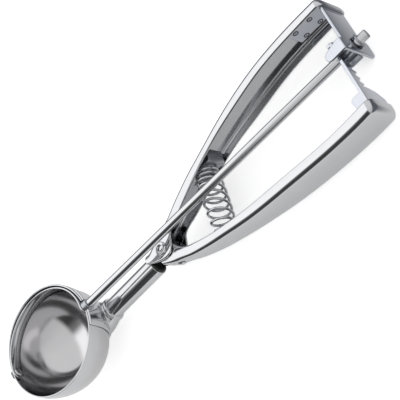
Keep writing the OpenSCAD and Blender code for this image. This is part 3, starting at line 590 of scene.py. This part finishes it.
def makeBlade():
    # a strip bent over a half circle, with round ends and broken edges
    values = {"half": 3.0, "parked": 5, "edge": 0.16, "edgeShare": 0.4, "bevel": 0.55, "least": 0.01,
              "steps": 150, "endTurns": range(2, 90, 11), "sharp": 50}
    thick = rodSizes["bladeThick"] / 2
    mid = rodSizes["blade"] - thick
    arcEnd = math.pi * mid
    ends = [-values["half"] * math.cos(math.radians(a)) for a in values["endTurns"]]
    stops = ends + [arcEnd * i / values["steps"] for i in range(values["steps"] + 1)]
    stops += [arcEnd - s for s in reversed(ends)]
    rings = []
    for s in stops:
        over = max(-s, s - arcEnd, 0)
        half = math.sqrt(max(values["half"] ** 2 - over ** 2, values["least"]))
        flat, side = thick * values["bevel"], half - min(values["edge"], half * values["edgeShare"])
        ring = []
        for out, up in ((-thick, side), (-flat, half), (flat, half), (thick, side),
                        (thick, -side), (flat, -half), (-flat, -half), (-thick, -side)):
            if s < 0:
                ring.append((mid + out, s, up))
            elif s > arcEnd:
                ring.append((-mid - out, arcEnd - s, up))
            else:
                ring.append(((mid + out) * math.cos(s / mid), (mid + out) * math.sin(s / mid), up))
        rings.append(ring)
    blade = newPiece("blade", *skinOf(rings), "buffedStainless", rodFrame @ turned(-values["parked"], "X"),
                     sharp=values["sharp"])
    fix(blade, "sweep", "blade")


def makePlates():
    makeCopies((
        ("endBracket", "end_bracket", "frame", "satin_steel", "rolledStainless", 0.6, 4, False),
        ("rack", "rack", "lever", "satin_steel", "rolledStainless", 0.3, 3, False),
        ("fixedSpringSeat", "fixed_spring_seat", "frame", "satin_steel", "milledStainless", 0.3, 2, True),
        ("leverSpringSeat", "lever_spring_seat", "lever", "satin_steel", "milledStainless", 0.3, 2, True),
        ("neckStiffener", "neck_stiffener", "lever", "satin_steel", "milledStainless", 0.2, 2, True)))


def newTree(name, inputs):
    # a Geometry Nodes group with its named inputs
    tree = bpy.data.node_groups.new(name, "GeometryNodeTree")
    tree.interface.new_socket(name="Geometry", in_out="INPUT", socket_type="NodeSocketGeometry")
    for label, kind in inputs:
        tree.interface.new_socket(name=label, in_out="INPUT", socket_type=kind)
    tree.interface.new_socket(name="Geometry", in_out="OUTPUT", socket_type="NodeSocketGeometry")
    return tree, addNode(tree, "NodeGroupInput").outputs


def closeTree(tree, shape, metal):
    whole = addNode(tree, "GeometryNodeRealizeInstances", {}, {0: shape})
    smooth = addNode(tree, "GeometryNodeSetShadeSmooth", {}, {0: whole.outputs[0]})
    skin = addNode(tree, "GeometryNodeSetMaterial", {}, {"Geometry": smooth.outputs[0], "Material": metal})
    addNode(tree, "NodeGroupOutput", {}, {0: skin.outputs[0]})
    return tree


# spot welds: one small ring and pit on each point
def weldTree():
    values = {"ringCuts": 28, "wireCuts": 10, "pitCuts": 2, "pressed": (1, 1, 0.6)}
    tree, given = newTree("spotWelds", (
        ("Ring Radius", "NodeSocketFloat"), ("Ring Thickness", "NodeSocketFloat"),
        ("Facing", "NodeSocketVector"), ("Metal", "NodeSocketMaterial")))
    path = addNode(tree, "GeometryNodeCurvePrimitiveCircle", {}, {
        "Resolution": values["ringCuts"], "Radius": given["Ring Radius"]})
    profile = addNode(tree, "GeometryNodeCurvePrimitiveCircle", {}, {
        "Resolution": values["wireCuts"], "Radius": given["Ring Thickness"]})
    ring = addNode(tree, "GeometryNodeCurveToMesh", {}, {
        "Curve": path.outputs[0], "Profile Curve": profile.outputs[0]})
    ball = addNode(tree, "GeometryNodeMeshIcoSphere", {}, {
        "Radius": given["Ring Thickness"], "Subdivisions": values["pitCuts"]})
    spot = addNode(tree, "GeometryNodeJoinGeometry")
    tree.links.new(ring.outputs[0], spot.inputs[0])
    tree.links.new(ball.outputs[0], spot.inputs[0])
    flat = addNode(tree, "GeometryNodeTransform", {}, {
        "Geometry": spot.outputs[0], "Scale": values["pressed"]})
    copies = addNode(tree, "GeometryNodeInstanceOnPoints", {}, {
        "Points": given["Geometry"], "Instance": flat.outputs[0], "Rotation": given["Facing"]})
    return closeTree(tree, copies.outputs[0], given["Metal"])


def runTree(name, points, tree, values):
    # the tree works on bare points, and its result becomes the piece's plain mesh
    mesh = bpy.data.meshes.new(name)
    mesh.from_pydata([tuple(Vector(p) * mm) for p in points], [], [])
    piece = placed(name, mesh)
    step = piece.modifiers.new("repeat", "NODES")
    step.node_group = tree
    for socket in tree.interface.items_tree:
        if socket.in_out == "INPUT" and socket.name in values:
            step[socket.identifier] = values[socket.name]
    return settle(piece)


def makeWelds():
    leaf = {"thick": 1.2, "rows": (15.2, 7.0), "stagger": 0.5, "side": 3.1, "sunk": 0.03, "ring": 1.05,
            "wire": 0.3, "facing": (90, 0)}
    tooth = {"stand": 0.15, "side": (-4.5, 0, 4.5), "ring": 0.95, "wire": 0.26, "facing": (90, -0.5)}
    tree = weldTree()
    spots = []
    for back in leaf["rows"]:
        for s in (-1, 1):
            x = handleSizes["strip"] - back - leaf["stagger"] * s
            y = read(fixedStations, x, "outer") - handleSizes["sheet"] - leaf["thick"]
            spots.append(handleFrame @ Vector((x, y - leaf["sunk"], leaf["side"] * s)))
    turn, twist = (math.radians(a) for a in leaf["facing"])
    welds = runTree("bracketWelds", spots, tree, {
        "Ring Radius": leaf["ring"] * mm, "Ring Thickness": leaf["wire"] * mm,
        "Facing": (turn, 0, twist), "Metal": finishes["weldScale"]})
    fix(welds, "frame", "bracket_welds")
    low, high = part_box("rack_welds")
    x, y = (low.x + high.x) / 2 / mm + tooth["stand"], (low.y + high.y) / 2 / mm
    spots = [(x, y, -stemSizes["drop"] + z) for z in tooth["side"]]
    turn, twist = (math.radians(a) for a in tooth["facing"])
    welds = runTree("rackWelds", spots, tree, {
        "Ring Radius": tooth["ring"] * mm, "Ring Thickness": tooth["wire"] * mm,
        "Facing": (0, turn, twist), "Metal": finishes["weldScale"]})
    fix(welds, "lever", "rack_welds")


# spring: a wire wound between the two seats, wider in its middle, leaning, and closer wound at one end
def springTree():
    values = {"coilCuts": 40, "wireCuts": 14}
    numbers = ("Turns", "Coil Radius", "Belly", "Length", "Wire Radius", "Flat Ends", "Lean", "Crowding")
    tree, given = newTree("woundWire", [(label, "NodeSocketFloat") for label in numbers]
                          + [("Metal", "NodeSocketMaterial")])
    coil = addNode(tree, "GeometryNodeCurveSpiral", {}, {
        "Resolution": values["coilCuts"], "Rotations": given["Turns"], "Start Radius": given["Coil Radius"],
        "End Radius": given["Coil Radius"], "Height": given["Length"], "Reverse": False})
    u = addNode(tree, "GeometryNodeSplineParameter").outputs["Factor"]
    swell = maths(tree, "SINE", maths(tree, "MULTIPLY", u, math.pi))
    wide = maths(tree, "MULTIPLY_ADD", swell, maths(tree, "DIVIDE", given["Belly"], given["Coil Radius"]), 1.0)
    lift = addNode(tree, "ShaderNodeMix", {"data_type": "FLOAT"},
                   {0: given["Flat Ends"], 2: u, 3: eased(tree, u)}).outputs[0]
    height = maths(tree, "MULTIPLY", maths(tree, "POWER", lift, given["Crowding"]), given["Length"])
    spot = addNode(tree, "ShaderNodeSeparateXYZ", {},
                   {0: addNode(tree, "GeometryNodeInputPosition").outputs[0]}).outputs
    slant = maths(tree, "MULTIPLY", given["Lean"], maths(tree, "MULTIPLY", swell, swell))
    shift = addNode(tree, "ShaderNodeCombineXYZ", {}, {
        "X": maths(tree, "MULTIPLY", spot[0], wide), "Y": maths(tree, "MULTIPLY", spot[1], wide),
        "Z": maths(tree, "MULTIPLY_ADD", spot[1], slant, height)})
    shaped = addNode(tree, "GeometryNodeSetPosition", {}, {
        "Geometry": coil.outputs[0], "Position": shift.outputs[0]})
    profile = addNode(tree, "GeometryNodeCurvePrimitiveCircle", {}, {
        "Resolution": values["wireCuts"], "Radius": given["Wire Radius"]})
    wire = addNode(tree, "GeometryNodeCurveToMesh", {}, {
        "Curve": shaped.outputs[0], "Profile Curve": profile.outputs[0], "Fill Caps": True})
    return closeTree(tree, wire.outputs[0], given["Metal"])


def makeSpring():
    values = {"at": 98.3, "lean": 0.178, "lift": -0.5, "wire": 0.6, "coil": 4.7, "belly": 0.6, "turns": 8.3,
              "flat": 0.35, "seat": 3.2, "topAhead": 3, "lowBehind": 2.6, "lowGap": 0.25, "tip": -0.5,
              "crowd": 0.82, "keep": 0.86}
    top = read(fixedStations, values["at"] + values["topAhead"], "outer") - values["seat"]
    low = read(leverStations, values["at"] - values["lowBehind"], "outer") + values["seat"] + values["lowGap"]
    angle = math.atan(values["lean"])
    length = (top - low) / math.cos(angle)
    place = (handleFrame @ Matrix.Translation((values["at"] + values["lean"] * low, low, values["lift"]))
             @ Matrix.Rotation(-angle, 4, "Z") @ turned(-90, "X"))
    piece = runTree("spring", [(0, 0, 0)], springTree(), {
        "Turns": values["turns"], "Coil Radius": values["coil"] * mm, "Belly": values["belly"] * mm,
        "Length": (length - 2 * values["wire"]) * mm, "Wire Radius": values["wire"] * mm,
        "Flat Ends": values["flat"], "Lean": values["tip"], "Crowding": values["crowd"],
        "Metal": finishes["drawnWire"]})
    scaled = Matrix.Translation(place.translation * mm) @ place.to_3x3().to_4x4()
    piece.data.transform(scaled @ Matrix.Translation((0, 0, values["wire"] * mm)))
    fix(piece, "frame", "spring")
    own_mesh(piece)


for make in (makeBowl, makeFerrule, makeStem, makeHandles, makePins, makeRod, makeBlade, makePlates,
             makeWelds, makeSpring):
    make()
    print(make.__name__[4:].lower() + " made")


def makeFloor():
    # pale for the camera; in mirror light it gets painted shade, darker beyond the handles' end and the fixed
    # handle's side, and a faint painted glow elsewhere
    # the second, darker colour is painted shade and the small glow strength is a painted glow; only mirror
    # rays see them
    values = {"size": 2.5, "under": 0.0002, "colour": "#f2f2f2", "end": "#72747c", "white": 0.5,
              "paintedGlow": 0.12, "fadeX": (0.187, 0.2), "fadeY": (0.034, 0.055)}
    mesh = bpy.data.meshes.new("floor")
    half, level = values["size"] / 2, cadBox[0].z - values["under"]
    corners = ((-half, -half), (half, -half), (half, half), (-half, half))
    mesh.from_pydata([(x, y, level) for x, y in corners], [], [(0, 1, 2, 3)])
    floor = placed("floor", mesh)
    material, tree = newMaterial("paleFloor")
    ray = addNode(tree, "ShaderNodeLightPath").outputs
    place = addNode(tree, "ShaderNodeSeparateXYZ", {},
                    {0: addNode(tree, "ShaderNodeTexCoord").outputs["Object"]}).outputs
    # painted shade: the zone where mirror rays see the floor darker, past the handles' end in X and past the
    # fixed handle's side in Y
    paintedShadeZone = maths(tree, "MAXIMUM", eased(tree, place[0], values["fadeX"]),
                eased(tree, place[1], values["fadeY"]))
    shade = maths(tree, "MULTIPLY", paintedShadeZone, ray["Is Glossy Ray"])
    # mirror rays in that zone get the painted shade colour in place of the pale floor
    tone = blended(tree, shade, hexColour(values["colour"]), hexColour(values["end"]))
    matt = addNode(tree, "ShaderNodeBsdfDiffuse", {}, {"Color": tone})
    # painted glow: a faint white shine that only mirror rays see, outside the painted shade
    paintedGlow = maths(tree, "MULTIPLY", maths(tree, "SUBTRACT", ray["Is Glossy Ray"], shade), values["paintedGlow"])
    glow = maths(tree, "MULTIPLY_ADD", ray["Is Camera Ray"], values["white"], paintedGlow)
    shine = addNode(tree, "ShaderNodeEmission", {}, {"Color": (1, 1, 1, 1), "Strength": glow})
    both = addNode(tree, "ShaderNodeAddShader", {}, {0: matt.outputs[0], 1: shine.outputs[0]})
    addNode(tree, "ShaderNodeOutputMaterial", {}, {"Surface": both.outputs[0]})
    mesh.materials.append(material)


def lightRamp(tree, turn, stops):
    # brightness round the length, from (degrees, level): 0 is +Y and 90 is up
    ramp = addNode(tree, "ShaderNodeValToRGB", {}, {0: turn})
    line = ramp.color_ramp
    line.interpolation = "EASE"
    while len(line.elements) < len(stops):
        line.elements.new(0.5)
    for element, (degrees, level) in zip(line.elements, stops):
        element.position = (degrees + 180) / 360
        element.color = (level, level, level, 1)
    return ramp.outputs[0]


def makeLight():
    # mirror light sees a long soft box over the fixed handle's side and a dark room on the camera's side
    # each zone: limits along X, its ramp, and whether only light on its second mirror bounce sees it
    values = {"plain": 0.9, "box": 1.5, "white": 1.0,
              "along": ((-180, 0.09), (-150, 0.22), (-90, 0.5), (-30, 0.3), (-5, 0.16), (14, 0.3), (28, 1.0),
                        (92, 1.0), (112, 0.16), (130, 0.035), (165, 0.05), (180, 0.09)),
              "middle": ((-180, 0.3), (-90, 0.45), (0, 0.34), (28, 0.64), (80, 0.62), (115, 0.58),
                         (150, 0.5), (180, 0.34)),
              "beyond": ((-180, 0.2), (-90, 0.3), (0, 0.25), (28, 0.64), (85, 0.6), (100, 0.14),
                         (116, 0.07), (140, 0.06), (180, 0.14)),
              "zones": (((-0.2, 0.02), "middle", False), ((-0.48, -0.6), "middle", True),
                        ((0.25, 0.5), "beyond", True))}
    world = bpy.data.worlds.new("studio")
    bpy.context.scene.world = world
    world.use_nodes = True
    tree = world.node_tree
    tree.nodes.clear()
    ray = addNode(tree, "ShaderNodeLightPath").outputs
    way = addNode(tree, "ShaderNodeSeparateXYZ", {},
                  {0: addNode(tree, "ShaderNodeTexCoord").outputs["Generated"]}).outputs
    turn = addNode(tree, "ShaderNodeMapRange", {}, {
        "Value": maths(tree, "ARCTAN2", way["Z"], way["Y"]), "From Min": -math.pi, "From Max": math.pi})
    ramps = {name: lightRamp(tree, turn.outputs[0], values[name]) for name in ("along", "middle", "beyond")}
    bounces = addNode(tree, "ShaderNodeMapRange", {}, {
        "Value": ray["Glossy Depth"], "From Min": 1, "From Max": 2})
    room = ramps["along"]
    for limits, name, bounced in values["zones"]:
        share = eased(tree, way["X"], limits)
        if bounced:
            share = maths(tree, "MULTIPLY", share, bounces.outputs[0])
        room = blended(tree, share, room, ramps[name])
    glossy = addNode(tree, "ShaderNodeBackground", {}, {"Color": room, "Strength": values["box"]})
    plain, white = (addNode(tree, "ShaderNodeBackground", {}, {
        "Color": (1, 1, 1, 1), "Strength": values[name]}) for name in ("plain", "white"))
    first = addNode(tree, "ShaderNodeMixShader", {}, {
        0: ray["Is Glossy Ray"], 1: plain.outputs[0], 2: glossy.outputs[0]})
    second = addNode(tree, "ShaderNodeMixShader", {}, {
        0: ray["Is Camera Ray"], 1: first.outputs[0], 2: white.outputs[0]})
    addNode(tree, "ShaderNodeOutputWorld", {}, {"Surface": second.outputs[0]})
    bpy.context.scene.view_settings.view_transform = "Standard"


def makeCamera():
    values = {"lens": 106.86, "sensor": 36.0, "near": 0.01, "at": (329.89, -238.68, 347.46),
              "right": (0.61805, -0.40763, -0.6722), "up": (0.62867, 0.76967, 0.11129),
              "back": (0.47201, -0.49138, 0.73196)}
    lens = bpy.data.cameras.new("camera")
    lens.lens, lens.sensor_width, lens.clip_start = values["lens"], values["sensor"], values["near"]
    camera = placed("camera", lens)
    turn = Matrix((values["right"], values["up"], values["back"])).transposed()
    camera.matrix_world = Matrix.Translation(Vector(values["at"]) * mm) @ turn.to_4x4()
    bpy.context.scene.camera = camera


makeFloor()
makeLight()
makeCamera()
print("floor, light and camera made")
